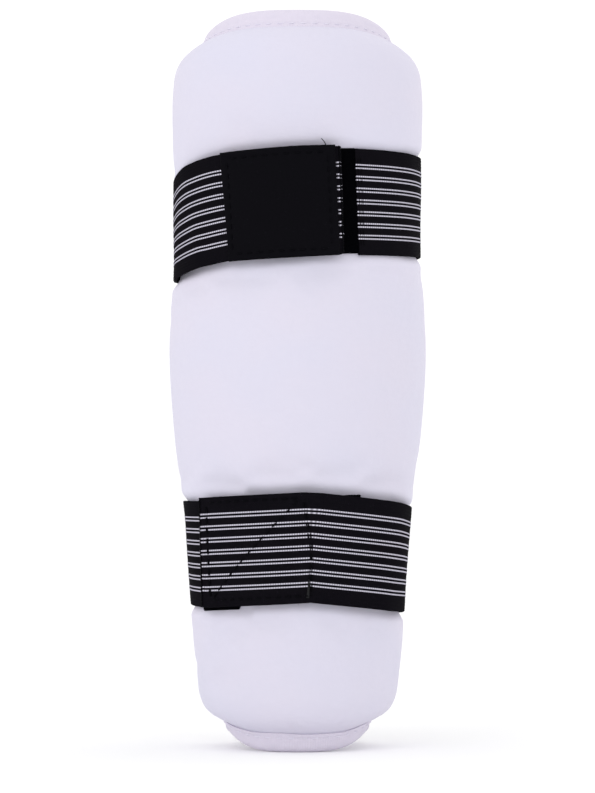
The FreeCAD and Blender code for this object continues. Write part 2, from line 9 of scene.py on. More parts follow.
import bmesh
import bpy
import numpy as np
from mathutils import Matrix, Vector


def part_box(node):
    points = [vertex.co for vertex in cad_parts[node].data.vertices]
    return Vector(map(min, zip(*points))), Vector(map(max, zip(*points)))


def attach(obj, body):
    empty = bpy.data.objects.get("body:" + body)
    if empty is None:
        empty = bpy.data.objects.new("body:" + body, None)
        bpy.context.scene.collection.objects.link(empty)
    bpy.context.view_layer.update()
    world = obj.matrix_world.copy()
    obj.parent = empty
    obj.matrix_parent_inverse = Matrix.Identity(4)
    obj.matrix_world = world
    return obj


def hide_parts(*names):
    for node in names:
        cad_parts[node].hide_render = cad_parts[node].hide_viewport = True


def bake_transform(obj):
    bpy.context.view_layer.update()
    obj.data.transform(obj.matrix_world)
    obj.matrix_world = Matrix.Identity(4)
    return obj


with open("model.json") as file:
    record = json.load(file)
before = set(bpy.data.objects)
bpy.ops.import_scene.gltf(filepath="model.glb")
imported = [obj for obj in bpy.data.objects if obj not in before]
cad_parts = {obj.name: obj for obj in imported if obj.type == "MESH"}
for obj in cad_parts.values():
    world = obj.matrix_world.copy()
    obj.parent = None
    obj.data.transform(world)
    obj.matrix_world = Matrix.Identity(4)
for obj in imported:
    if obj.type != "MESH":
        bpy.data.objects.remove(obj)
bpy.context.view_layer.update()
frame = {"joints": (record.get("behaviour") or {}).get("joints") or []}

MM = 0.001
AXES = {joint["name"]: np.array(joint["pos_m"]) / MM for joint in frame["joints"]}


def node_box(node):
    """Lowest and highest corner of a CAD node, in mm."""
    low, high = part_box(node)
    return np.array(low) / MM, np.array(high) / MM


# The sleeve: its height at the wings, the depth of its half circle's centre, offsets from its inner
# surface, and how the cover and the lining close up towards its edges.
LENGTH = node_box("left_binding")[1][2]
CENTRE_DEPTH = 6.4
FLANGE_OUT = 5.0
PAD_HEIGHT = 7.4
PAD_OUT = FLANGE_OUT + PAD_HEIGHT
EDGE_REACH, COVER_THIN, LINING_THIN = 9.0, 1.5, 1.2
COVER_THICK, LINING_THICK, SHEET_INSET, TIP_INSET = 0.8, 0.8, 0.9, 0.3

# Its ends aren't level: where their curves reach to, and how far they leave level at the sides and at the
# tips.
TOP_CURVE_FROM, END_REACH, END_ROUND_REACH, SIDE_SHARE = 228.0, 46.0, 14.0, 0.6
TOP_DROP, BOTTOM_LIFT, BOTTOM_ROUND = (5.6, 0.8), (3.0, 2.4), (3.2, 1.0)

# The thick pad's ends, its rounded rims, how far past the side it goes, and how much less at its corners.
# Then its foam core's underside and two bend grooves.
PAD_BOTTOM, PAD_TOP = 7.8, 266.5
PAD_ROUND, PAD_RIM, PAD_PAST_SIDE, PAD_CORNER = 13.5, 8.0, -2.0, 10.5
CORE_LOW, BEND_GROOVE_AT = 4.0, 12.5

# Binding tape: thickness, how far its fold passes the edge, offset of the edge's middle, rounding at a
# wing's end, and modelling step. Then its widths and stitches.
TAPE, FOLD_OUT, EDGE_MIDDLE, TIP_ROUND, TAPE_STEP = 0.75, 0.7, 2.5, 3.2, 0.9
SIDE_TAPE_WIDTH, END_TAPE_WIDTH = 7.5, 6.2
STITCH_PITCH, STITCH_LENGTH, STITCH_INSET = 3.6, 2.6, 1.6

# Straps, tapes under them, and how far they press into the pad in front and at the sides.
STRAP_WIDTH, STRAP_THICK, STRAP_GAP = 39.5, 1.5, 0.35
STRAP_HALF, STRAP_EDGE = STRAP_THICK / 2, STRAP_WIDTH / 2
LOOP_THICK, HOOK_THICK, PLY_GAP = 1.3, 1.1, 0.2
DENT, SIDE_DENT, SINK, SIDE_SINK = 1.3, 1.0, 1.0, 1.7
HINGE_REACH = 8.0

# White lines of the elastic, in pairs: their pitch, each line's distance from its pair's middle, half a
# line's width, and the half width that they fill.
STRIPE_PITCH, STRIPE_APART, STRIPE_WIDE = 4.35, 0.64, 0.29
EDGE_BAND = 3.5 * STRIPE_PITCH

# The camera's distance from the cover, its height, and the height that it is aimed at. The lights' aim, in
# metres, and the floor's half width.
CAMERA_AWAY, CAMERA_HEIGHT, CAMERA_AIM = 1500.0, 117.0, 130.9
LIGHT_AIM = np.array((0.0, 0.0, 0.13))
FLOOR_HALF = 16000.0

# The sleeve's inner surface: height, half width of the half circle, wing length, and the wing's curl in
# degrees
STATIONS = np.array([
    (0.0, 22.0, 25.0, 5.0),
    (16.0, 24.2, 26.5, 15.0),
    (50.0, 27.2, 30.5, 32.0),
    (95.0, 30.6, 33.5, 28.0),
    (118.0, 33.2, 35.0, 20.0),
    (147.0, 35.0, 36.0, 16.0),
    (179.0, 33.8, 36.0, 32.0),
    (222.0, 33.8, 36.0, 33.0),
    (244.0, 34.0, 36.0, 20.0),
    (260.0, 32.5, 35.0, 11.0),
    (274.0, 29.5, 34.0, 6.0),
])

# How each strap runs: its flap's side, how its ends lean, where the flap ends along the sleeve, how its
# middle line leaves its height and its width changes by the angle in degrees from the front (negative
# towards the flap's side), and how its kinks lean. Then its loop tape: both ends along the sleeve; and
# height over the strap's middle, half width, slope, lean of its ends, cut-back corner and random seed.
STRAPS = {
    "upper": {
        "side": -1,
        "skew": {"flap": 0.0, "anchor": 0.048},
        "flap_end": 11.3,
        "flap_drop": [(-180, -4.1), (-142, -7.0), (-100, -9.3), (-85, -9.4), (-70, -6.9), (-51, -3.1),
                      (-33, -0.6), (0, 1.2), (20, 2.0), (90, 2.0)],
        "anchor_drop": [(0, 1.6), (60, 1.5), (95, 1.2), (142, -1.3), (180, -4.1)],
        "flap_width": [(0, 1.0), (45, 0.98), (65, 0.93), (90, 0.86), (120, 0.92), (150, 1.0)],
        "anchor_width": [(0, 1.0), (60, 0.97), (90, 0.94), (120, 0.96), (150, 1.0)],
        "kink_lean": 0.0,
        "loop": (-22.0, 16.0),
        "loop_form": (1.2, 19.2, 0.05, 0.05, 0.0, 41),
    },
    "lower": {
        "side": 1,
        "skew": {"flap": 0.036, "anchor": 0.0},
        "flap_end": 27.0,
        "flap_drop": [(-180, -2.4), (-142, -3.1), (-95, -3.8), (-60, -1.4), (-6, 3.0), (52, 0.6), (90, 0.4)],
        "anchor_drop": [(0, -0.6), (60, -0.2), (95, -0.1), (142, -1.5), (180, -2.4)],
        "flap_width": [(0, 1.02), (55, 1.02), (90, 0.965), (120, 0.965), (150, 1.0)],
        "anchor_width": [(0, 1.0), (60, 1.0), (90, 0.98), (120, 0.98), (150, 1.0)],
        "kink_lean": 0.1,
        "loop": (-17.6, 28.4),
        "loop_form": (1.0, 19.9, -0.08, 0.025, 1.8, 43),
    },
}


# ---- shapes in numbers
def smoothstep(x):
    x = np.clip(x, 0.0, 1.0)
    return x * x * (3 - 2 * x)


def bell(x, width):
    return np.exp(-((x / width) ** 2))


def unit(v):
    return v / np.maximum(np.linalg.norm(v, axis=-1, keepdims=True), 1e-9)


def from_stations(column, z):
    """Cubic through the stations, with slopes taken from their neighbours."""
    heights, values = STATIONS[:, 0], STATIONS[:, column]
    i = np.arange(len(heights))
    before, after = np.maximum(i - 1, 0), np.minimum(i + 1, i[-1])
    slopes = (values[after] - values[before]) / (heights[after] - heights[before])
    z = np.clip(z, heights[0], heights[-1])
    k = np.minimum(np.searchsorted(heights, z, side="right"), i[-1]) - 1
    span = heights[k + 1] - heights[k]
    f = (z - heights[k]) / span
    start = values[k] * (2 * f**3 - 3 * f**2 + 1) + slopes[k] * span * (f**3 - 2 * f**2 + f)
    return start + values[k + 1] * (3 * f**2 - 2 * f**3) + slopes[k + 1] * span * (f**3 - f**2)


def half_width(z):
    return from_stations(1, z)


def side_at(z):
    """Distance along the surface from the front centre line to a side, where the wing starts."""
    return math.pi / 2 * half_width(z)


def tip(z):
    """Distance along the surface from the front centre line to a wing's tip."""
    return side_at(z) + from_stations(2, z)


def end_curve(share, at_side, at_tip):
    """How far an end of the sleeve leaves level: nothing in front, most at the sides, less at the tips."""
    front = at_side * np.sin(math.pi / 2 * np.minimum(share / SIDE_SHARE, 1.0)) ** 4
    return front + (at_tip - at_side) * smoothstep((share - SIDE_SHARE) / (1 - SIDE_SHARE))


def on_sleeve(u, z, offset):
    """Points at a distance along the sleeve from its front centre line, a height, and an offset outwards."""
    u, z, offset = np.broadcast_arrays(np.asarray(u, float), z, offset)
    inner, wing, curl = half_width(z), from_stations(2, z), np.radians(from_stations(3, z))
    quarter = side_at(z)
    far = np.abs(u) > quarter
    bend = np.where(far, wing / curl, inner)
    turn = np.where(far, (np.abs(u) - quarter) / bend, np.abs(u) / inner)
    x = np.where(far, inner - bend + (bend + offset) * np.cos(turn), (inner + offset) * np.sin(turn))
    y = np.where(far, (bend + offset) * np.sin(turn), -(inner + offset) * np.cos(turn))
    share = np.abs(u) / tip(z)
    drop = end_curve(share, *TOP_DROP) * smoothstep((z - TOP_CURVE_FROM) / END_REACH)
    lift = end_curve(share, *BOTTOM_LIFT) * smoothstep(1 - z / END_REACH)
    lift = lift + end_curve(share, *BOTTOM_ROUND) * smoothstep(1 - z / END_ROUND_REACH)
    return np.stack([np.sign(u) * x, y + CENTRE_DEPTH, z - drop + lift], axis=-1)


def rounded(share):
    """A quarter circle's rise, from 0 at 0 to 1 at 1."""
    return np.sqrt(1 - (1 - np.clip(share, 0, 1)) ** 2)


def pad_end(z, shrink):
    return (np.minimum(z - PAD_BOTTOM, PAD_TOP - z) - shrink) / PAD_ROUND


def pad_limit(z, shrink, end_rise):
    """Distance along the sleeve to the thick pad's rim."""
    return side_at(z) + PAD_PAST_SIDE + PAD_RIM - shrink - PAD_CORNER * (1 - end_rise)


def pad_rise(u, z, shrink=0.0):
    """Height of the thick pad above the flange, with rounded rims."""
    end_rise = rounded(pad_end(z, shrink))
    return PAD_HEIGHT * end_rise * rounded((pad_limit(z, shrink, end_rise) - np.abs(u)) / PAD_RIM)


def ripple(a, b, seed, wavelength, turn=0.0):
    """Irregular ridges: a few sine waves close in direction and length, from -1 to 1."""
    rng = np.random.default_rng(seed)
    total = 0.0
    for _ in range(4):
        angle = turn + rng.normal(0, 0.22)
        length = wavelength * rng.uniform(0.75, 1.35)
        place_along = a * math.sin(angle) + b * math.cos(angle)
        total = total + np.sin(2 * math.pi * place_along / length + rng.uniform(0, 6.3))
    return total / 4


def from_edge(u, z):
    """Distance from the sleeve's nearest edge."""
    return np.minimum(tip(z) - np.abs(u), np.minimum(z, LENGTH - z))


def thinning(distance):
    """From 0 inside the sleeve to 1 at its edge."""
    return smoothstep(1 - distance / EDGE_REACH)


def strap_mask(u, z):
    """1 where a strap presses on the pad, 0 away from it."""
    angle = np.degrees(np.minimum(np.abs(u) / half_width(z), 1.7)) * np.sign(u)
    total = 0.0
    for name, strap in STRAPS.items():
        towards = angle * -strap["side"]
        on_flap = towards < 25
        drop = np.where(on_flap, table(strap["flap_drop"], towards), table(strap["anchor_drop"], towards))
        width = np.where(on_flap, table(strap["flap_width"], -towards), table(strap["anchor_width"], towards))
        away = np.abs(z - strap_middle(name) - drop) - STRAP_EDGE * width
        total = total + 1 - smoothstep((away + 1.5) / 5.5)
    return total


def table(rows, x):
    """Values read from rows of (place, value), straight between them."""
    return np.interp(x, *np.transpose(rows))


def strap_middle(name):
    low, high = node_box(name + "_strap_back")
    return (low[2] + high[2]) / 2


def cover_offset(u, z):
    """Offset of the cover's outside: thin edge, pad, dents under the straps, and puckers at the seams."""
    edge = from_edge(u, z)
    rise = pad_rise(u, z)
    on_pad = rise / PAD_HEIGHT
    at_side = smoothstep((np.abs(u) / half_width(z) - 0.7) / 0.6)
    dent = (DENT + SIDE_DENT * at_side) * strap_mask(u, z)
    offset = FLANGE_OUT - COVER_THIN * thinning(edge) + rise - dent * on_pad
    # Creases on the wings: all over, stronger at the lower corners, and long ones behind the middle
    wing = smoothstep((np.abs(u) - side_at(z) + 3) / 8) * smoothstep((edge - 5) / 4)
    lower_corner = bell(z - 34, 26) * np.where(u < 0, 1.0, 0.35)
    offset = offset + wing * 0.16 * ripple(u, z, 5, 7.0)
    offset = offset + wing * lower_corner * 0.75 * ripple(np.abs(u), z, 8, 4.6, 0.75)
    offset = offset + wing * bell(z - 150, 40) * 0.12 * ripple(np.abs(u), z, 11, 9.0, 0.4)
    # Puckers beside the tape, a pressed line where the pad starts at each end, and gathers over it
    seam = bell(edge - 9.3, 2.6) * (1 - on_pad)
    offset = offset + seam * 0.2 * ripple(u, z, 3, 4.2, 0.6)
    lip = bell(LENGTH - z - 8.6, 1.0) + bell(z - 8.6, 1.0)
    gathers = (bell(z - 10.5, 2.6) * bell(u, 15) * 1.5 + bell(LENGTH - z - 10.5, 2.2)) * on_pad
    return offset - 0.35 * lip * bell(u, 34) + gathers * 0.16 * ripple(z, u, 17, 3.4, 0.2)


def lining_offset(u, z):
    """Offset of the lining's inside: soft creases over the foam's two grooves and a faint oval swelling."""
    edge = from_edge(u, z)
    inside = smoothstep((edge - 8) / 12)
    wander = 0.8 * np.sin(z / 31)
    crease = bell(np.abs(u) - BEND_GROOVE_AT - wander, 1.7) * (0.65 + 0.35 * np.sin(z / 19 + np.sign(u)))
    oval = bell(np.hypot(u / 9.5, (z - 238) / 7.0) - 1, 0.34)
    soft = 0.10 * ripple(u, z, 23, 26.0, 1.4) + 0.06 * ripple(u, z, 29, 11.0, 1.2)
    return LINING_THIN * thinning(edge) + inside * (0.55 * crease - 0.22 * oval + soft)


# ---- meshes
def grid_faces(rows, columns, closed=False):
    r, c = np.meshgrid(np.arange(rows - 1), np.arange(columns if closed else columns - 1), indexing="ij")
    following = (c + 1) % columns
    corners = [r * columns + c, r * columns + following, (r + 1) * columns + following, (r + 1) * columns + c]
    return np.stack(corners, axis=-1).reshape(-1, 4)


def piece(name, points, faces, uv=None, material=None):
    """A smooth-shaded mesh object from points and uv in mm, with its faces turned outwards."""
    mesh = bpy.data.meshes.new(name)
    mesh.from_pydata((points.reshape(-1, 3) * MM).tolist(), [], [list(map(int, face)) for face in faces])
    if uv is not None:
        layer = mesh.uv_layers.new(name="UVMap")
        corners = np.zeros(len(mesh.loops), np.int32)
        mesh.loops.foreach_get("vertex_index", corners)
        layer.data.foreach_set("uv", (uv.reshape(-1, 2)[corners] * MM).ravel())
    work = bmesh.new()
    work.from_mesh(mesh)
    bmesh.ops.recalc_face_normals(work, faces=work.faces)
    work.to_mesh(mesh)
    work.free()
    mesh.polygons.foreach_set("use_smooth", [True] * len(mesh.polygons))
    mesh.set_sharp_from_angle(angle=math.radians(66))
    made = bpy.data.objects.new(name, mesh)
    bpy.context.scene.collection.objects.link(made)
    if material is not None:
        mesh.materials.append(material)
    return made


def grid_normals(points):
    return unit(np.cross(np.gradient(points, axis=1), np.gradient(points, axis=0)))


def slab(name, outer, inner, flat, material):
    """A sheet with thickness between two grids of points; flat gives the places along and across it."""
    rows, columns = outer.shape[:2]
    count = rows * columns
    index = np.arange(count).reshape(rows, columns)
    faces = grid_faces(rows, columns)
    border = np.concatenate([index[0], index[1:, -1], index[-1, -2::-1], index[-2:0:-1, 0]])
    following = np.roll(border, -1)
    walls = np.stack([border, following, following + count, border + count], axis=-1)
    points = np.concatenate([outer.reshape(-1, 3), inner.reshape(-1, 3)])
    all_faces = np.concatenate([faces, faces[:, ::-1] + count, walls])
    uv = np.stack(flat, axis=-1).reshape(-1, 2)
    return piece(name, points, all_faces, np.concatenate([uv, uv]), material)


def swept(name, rings, uv, material):
    """A solid swept through closed rings of points, closed at both ends."""
    rows, columns = rings.shape[:2]
    faces = grid_faces(rows, columns, closed=True).tolist()
    first, last = rings[0].mean(axis=0), rings[-1].mean(axis=0)
    base = rows * columns
    for c in range(columns):
        following = (c + 1) % columns
        faces.append([following, c, base])
        faces.append([base - columns + c, base - columns + following, base + 1])
    points = np.concatenate([rings.reshape(-1, 3), [first, last]])
    uv = np.concatenate([uv.reshape(-1, 2), [uv[0].mean(axis=0), uv[-1].mean(axis=0)]])
    return piece(name, points, faces, uv, material)


def tubes(name, paths, side, radii, material, sides=6):
    """Many small tubes that each follow a flat path; side is the direction square to each path's plane."""
    tangent = unit(np.gradient(paths, axis=1))
    across = unit(side)[:, None, :] + np.zeros_like(paths)
    normal = unit(np.cross(across, tangent))
    angles = np.linspace(0, 2 * math.pi, sides, endpoint=False)
    rings = normal[:, :, None, :] * np.cos(angles)[:, None] + across[:, :, None, :] * np.sin(angles)[:, None]
    rings = paths[:, :, None, :] + rings * np.asarray(radii, float)[:, None, None]
    count, steps = paths.shape[:2]
    one = grid_faces(steps, sides, closed=True)
    starts = np.arange(count)[:, None, None] * steps * sides
    faces = (one[None] + starts).reshape(-1, 4).tolist()
    ends = [np.arange(sides)[::-1], np.arange(sides) + (steps - 1) * sides]
    faces += [list(end + start) for start in starts.ravel() for end in ends]
    return piece(name, rings, faces, None, material)


def paths_from(starts, *moves):
    """A path from each start, by vectors of its own times amounts that all paths share."""
    paths = starts[:, None]
    for vectors, amounts in moves:
        paths = paths + vectors[:, None] * amounts[:, None]
    return paths


def stitches(name, centres, along, normals, material, length=STITCH_LENGTH, radius=0.27):
    """Short stitches, arched a little, with their ends sunk in the fabric."""
    t = np.linspace(-1, 1, 7)
    along, normals = unit(along), unit(normals)
    paths = paths_from(centres, (along, t * length / 2), (normals, 0.12 - 0.42 * np.abs(t) ** 2.5))
    radii = radius * np.sqrt(1.02 - np.abs(t) ** 3)
    return tubes(name, paths, np.cross(along, normals), radii, material)


def place(made, body, slot, *nodes):
    """Sets what a piece rides on and hides the CAD nodes that it stands for; slot is not used."""
    if body:
        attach(made, body)
    if nodes:
        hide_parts(*nodes)
    return made


# ---- materials
class Finish:
    """A procedural material, with short ways to add its nodes. Lengths in it are mm."""

    def __init__(self, name, roughness, sheen=0.0, specular=0.25, flat=True):
        self.material = bpy.data.materials.new(name)
        self.material.use_nodes = True
        self.tree = self.material.node_tree
        self.inputs = self.tree.nodes["Principled BSDF"].inputs
        self.inputs["Roughness"].default_value = roughness
        self.inputs["Sheen Weight"].default_value = sheen
        self.inputs["Sheen Roughness"].default_value = 0.5
        self.inputs["Specular IOR Level"].default_value = specular
        source = self.node("UVMap" if flat else "TexCoord")
        scale = self.node("VectorMath")
        scale.operation = "SCALE"
        scale.inputs["Scale"].default_value = 1 / MM
        self.join(scale.inputs[0], source.outputs["UV" if flat else "Object"])
        self.here = scale.outputs[0]

    def node(self, kind):
        return self.tree.nodes.new("ShaderNode" + kind)

    def join(self, socket, value):
        if isinstance(value, bpy.types.NodeSocket):
            self.tree.links.new(value, socket)
        else:
            socket.default_value = value

    def math(self, operation, *terms):
        node = self.node("Math")
        node.operation = operation
        for socket, term in zip(node.inputs, terms):
            self.join(socket, term)
        return node.outputs[0]

    def scaled(self, value, factor, added=0.0):
        return self.math("MULTIPLY_ADD", value, factor, added)

    def parts(self):
        """Distances along and across the fabric."""
        node = self.node("SeparateXYZ")
        self.join(node.inputs[0], self.here)
        return node.outputs[0], node.outputs[1]

    def noise(self, size, detail=3.0):
        """Noise from 0 to 1 whose blotches are about size mm across."""
        node = self.node("TexNoise")
        node.inputs["Scale"].default_value = 1 / size
        node.inputs["Detail"].default_value = detail
        self.join(node.inputs["Vector"], self.here)
        return node.outputs[0]

    def wave(self, value, pitch):
        """A ridge pattern from -1 to 1."""
        return self.math("SINE", self.scaled(value, 2 * math.pi / pitch))

    def mix(self, share, first, second):
        node = self.node("Mix")
        node.data_type = "RGBA"
        self.join(node.inputs["Factor"], share)
        for socket, value in zip(node.inputs[6:8], (first, second)):
            self.join(socket, value if isinstance(value, bpy.types.NodeSocket) else (*value, 1.0))
        return node.outputs[2]

    def finished(self, colour, height, grain=None, change=0.0, low=0.0):
        """The material with its colour, bump from a height in mm, and roughness that grows with a grain."""
        self.join(self.inputs["Base Color"], colour)
        bump = self.node("Bump")
        bump.inputs["Distance"].default_value = MM
        self.join(bump.inputs["Height"], height)
        self.join(self.inputs["Normal"], bump.outputs[0])
        if grain is not None:
            self.join(self.inputs["Roughness"], self.scaled(grain, change, low))
        return self.material


def cover_finish():
    f = Finish("cover_fabric", 0.62, sheen=0.05, specular=0.12)
    along, up = f.parts()
    fine = f.noise(2.2)
    tone = f.mix(f.noise(38.0, 2.0), (0.715, 0.67, 0.765), (0.655, 0.655, 0.78))
    colour = f.mix(f.scaled(fine, 0.16), tone, (0.58, 0.56, 0.69))
    weave = f.math("MULTIPLY", f.wave(along, 0.5), f.wave(up, 0.5))
    height = f.scaled(weave, 0.012, f.scaled(fine, 0.09))
    return f.finished(colour, f.scaled(f.noise(9.0), 0.12, height), fine, 0.2, 0.52)


def binding_finish():
    f = Finish("binding_tape", 0.7, sheen=0.05, specular=0.12)
    along, across = f.parts()
    mottle = f.noise(3.0)
    colour = f.mix(mottle, (0.72, 0.672, 0.775), (0.655, 0.615, 0.725))
    ribs = f.scaled(f.wave(across, 0.55), 0.012, f.scaled(f.wave(along, 0.8), 0.022))
    return f.finished(colour, f.scaled(mottle, 0.12, ribs), mottle, 0.2, 0.6)


def lining_finish():
    f = Finish("lining_fabric", 0.85, sheen=0.08, specular=0.08)
    along, up = f.parts()
    nap = f.noise(0.9, 4.0)
    tone = f.mix(f.noise(45.0, 2.0), (0.90, 0.865, 0.965), (0.885, 0.85, 0.95))
    colour = f.mix(f.scaled(nap, 0.3), tone, (0.84, 0.79, 0.90))
    wales = f.scaled(f.wave(up, 0.55), 0.01, f.scaled(f.wave(along, 0.7), 0.02))
    return f.finished(colour, f.scaled(nap, 0.14, wales), nap, 0.15, 0.75)


def elastic_finish():
    """Black webbing with seven pairs of dotted white lines, between two plain ribbed edges."""
    f = Finish("elastic", 0.85, sheen=0.0, specular=0.008)
    along, across = f.parts()
    in_pair = f.math("ABSOLUTE", f.math("WRAP", across, STRIPE_PITCH / 2, -STRIPE_PITCH / 2))
    away = f.math("ABSOLUTE", f.math("SUBTRACT", in_pair, STRIPE_APART))
    line = f.scaled(f.math("SUBTRACT", STRIPE_WIDE, away), 12.0)
    line = f.math("MINIMUM", f.math("MAXIMUM", line, 0.0), 1.0)
    inside = f.math("LESS_THAN", f.math("ABSOLUTE", across), EDGE_BAND)
    dots = f.scaled(f.wave(along, 0.92), 0.36, 0.7)
    white = f.math("MULTIPLY", f.math("MULTIPLY", line, inside), dots)
    worn = f.noise(1.1)
    black = f.mix(f.noise(16.0, 2.0), (0.0022, 0.002, 0.0036), (0.0048, 0.0042, 0.006))
    black = f.mix(f.scaled(worn, 0.35), black, (0.012, 0.0105, 0.0135))
    ribs = f.math("MULTIPLY", f.wave(along, 0.86), f.wave(across, 1.1))
    height = f.scaled(worn, 0.09, f.scaled(ribs, 0.03))
    return f.finished(f.mix(white, black, (0.70, 0.675, 0.79)), height, worn, 0.2, 0.65)


def grainy_finish(name, low, high, size, depth, roughness, specular=0.25):
    """Pile, nylon, rubber or foam: two near tones mixed by noise, with relief of the same grain."""
    f = Finish(name, roughness, 0.0, specular)
    grain = f.noise(size, 4.0)
    return f.finished(f.mix(grain, low, high), f.scaled(grain, depth), grain, 0.15, roughness - 0.07)


def thread_finish(name, low, high, specular=0.15):
    """Twisted sewing thread."""
    f = Finish(name, 0.7, 0.0, specular, flat=False)
    twist = f.noise(0.5)
    return f.finished(f.mix(twist, low, high), f.scaled(twist, 0.08))


COVER = cover_finish()
BINDING = binding_finish()
LINING = lining_finish()
ELASTIC = elastic_finish()
PILE = grainy_finish("loop_pile", (0.0003, 0.0003, 0.0006), (0.0016, 0.0016, 0.0026), 0.7, 0.35, 0.95, 0.01)
HOOK = grainy_finish("hook_nylon", (0.004, 0.004, 0.005), (0.012, 0.012, 0.014), 1.2, 0.05, 0.45, 0.15)
BADGE = grainy_finish(
    "badge_rubber", (0.0026, 0.0024, 0.0036), (0.0044, 0.0041, 0.0058), 0.8, 0.05, 0.7, 0.02)
FOAM = grainy_finish("foam", (0.70, 0.69, 0.66), (0.80, 0.79, 0.77), 0.8, 0.2, 0.85)
WHITE_THREAD = thread_finish("white_thread", (0.66, 0.63, 0.74), (0.80, 0.77, 0.87))
BLACK_THREAD = thread_finish("black_thread", (0.0015, 0.0015, 0.0022), (0.0045, 0.0042, 0.006), 0.02)


# ---- camera, light and floor
def make_camera():
    """A long lens in front of the guard, a little under its middle and tipped up."""
    scene = bpy.context.scene
    scene.view_settings.view_transform = "Standard"
    away = CAMERA_AWAY - node_box("outer_cover")[0][1]
    optics = bpy.data.cameras.new("camera")
    optics.sensor_width, optics.lens, optics.clip_end = 36.0, 187.4, 50.0
    camera = bpy.data.objects.new("camera", optics)
    scene.collection.objects.link(camera)
    scene.camera = camera
    camera.location = (0.0, -away * MM, CAMERA_HEIGHT * MM)
    tip_up = math.atan2(CAMERA_AIM - CAMERA_HEIGHT, CAMERA_AWAY)
    camera.rotation_euler = (math.pi / 2 + tip_up, 0.0, 0.0)


def make_light():
    """An even white sky, a key light on the left in front and a fill light behind."""
    scene = bpy.context.scene
    world = bpy.data.worlds.new("studio")
    scene.world = world
    world.use_nodes = True
    sky = world.node_tree.nodes["Background"].inputs
    sky["Color"].default_value = (1.0, 1.0, 1.0, 1.0)
    sky["Strength"].default_value = 1.08
    for name, place_at, side, power in (
        ("key", (-0.9, -1.3, 1.1), 1.0, 3.5),
        ("fill", (1.2, 1.2, 1.0), 1.2, 2.0),
    ):
        lamp = bpy.data.lights.new(name, "AREA")
        lamp.size, lamp.energy = side, power
        holder = bpy.data.objects.new(name, lamp)
        scene.collection.objects.link(holder)
        holder.location = place_at
        x, y, z = LIGHT_AIM - np.array(place_at)
        holder.rotation_euler = (math.atan2(math.hypot(x, y), -z), 0.0, math.atan2(y, x) - math.pi / 2)


def make_floor():
    f = Finish("floor", 0.9, 0.0, 0.05, flat=False)
    f.join(f.inputs["Base Color"], f.mix(f.noise(400.0), (0.955, 0.955, 0.96), (0.965, 0.965, 0.965)))
    corners = FLOOR_HALF * np.array([(-1, -1, 0), (1, -1, 0), (1, 1, 0), (-1, 1, 0)], float)
    piece("floor", corners, [[0, 1, 2, 3]], None, f.material)


# ---- the sleeve
def sleeve_grid(rows, columns, low, high):
    """Distances and heights of a grid over the sleeve, from tip to tip."""
    z = np.linspace(low, high, rows)[:, None] + np.zeros(columns)
    u = np.linspace(-1, 1, columns) * (tip(z) - TIP_INSET)
    return u, z


def settled(points, hold, cap):
    """How a sheet of cloth moves, in mm, when it is held where hold is 1 and pressed out from inside."""
    rows, columns = points.shape[:2]
    sheet = piece("settling", points, grid_faces(rows, columns))
    group = sheet.vertex_groups.new(name="hold")
    for index, weight in enumerate(hold.ravel()):
        group.add([index], float(weight), "REPLACE")
    cloth = sheet.modifiers.new("cloth", "CLOTH").settings
    cloth.vertex_group_mass = "hold"
    cloth.use_pressure = True
    cloth.uniform_pressure_force = 4.0
    cloth.bending_stiffness = 0.05
    cloth.shrink_min = -0.012
    cloth.effector_weights.gravity = 0.0
    scene = bpy.context.scene
    for number in range(1, 21):
        scene.frame_set(number)
    mesh = sheet.evaluated_get(bpy.context.evaluated_depsgraph_get()).to_mesh()
    after = np.zeros(rows * columns * 3)
    mesh.vertices.foreach_get("co", after)
    bpy.data.objects.remove(sheet)
    scene.frame_set(1)
    moved = after.reshape(rows, columns, 3) / MM - points
    size = np.linalg.norm(moved, axis=-1, keepdims=True)
    return moved * np.tanh(size / cap) * cap / np.maximum(size, 1e-6)


def spline_weights(count, fine):
    """Weights that turn values at a few even steps into values at many more, along a smooth curve."""
    at = np.linspace(0, count - 1, fine)
    k = np.minimum(at.astype(int), count - 2)
    f = at - k
    shares = np.stack([(1 - f) ** 3, 3 * f**3 - 6 * f**2 + 4, -3 * f**3 + 3 * f**2 + 3 * f + 1, f**3]) / 6
    weights = np.zeros((fine, count))
    for step, share in zip((-1, 0, 1, 2), shares):
        np.add.at(weights, (np.arange(fine), np.clip(k + step, 0, count - 1)), share)
    return weights


def enlarged(field, rows, columns):
    """A grid of vectors sampled up to a finer grid over the same surface."""
    down, across = spline_weights(field.shape[0], rows), spline_weights(field.shape[1], columns)
    return np.einsum("ri,cj,ijk->rck", down, across, field, optimize=True)


def make_cover():
    """The cover, its pad settled as cloth on a coarse grid and that movement carried over to a fine one."""
    rows, columns = 300, 240
    u, z = sleeve_grid(rows, columns, SHEET_INSET, LENGTH - SHEET_INSET)
    outer = on_sleeve(u, z, cover_offset(u, z))
    few_u, few_z = sleeve_grid(92, 72, SHEET_INSET, LENGTH - SHEET_INSET)
    start = on_sleeve(few_u, few_z, cover_offset(few_u, few_z))
    held = np.maximum(1 - smoothstep((from_edge(few_u, few_z) - 8) / 5), strap_mask(few_u, few_z))
    shift = settled(start, np.clip(held, 0, 1), 0.9)
    outer = outer + enlarged(shift, rows, columns)
    inner = outer - COVER_THICK * grid_normals(outer)
    cover = slab("cover", outer, inner, (u, z), COVER)
    place(cover, "shell", "cover_fabric", "outer_cover")


def layer(name, u, z, high, low, material):
    """A sheet over the sleeve between two offsets."""
    return slab(name, on_sleeve(u, z, high), on_sleeve(u, z, low), (u, z), material)


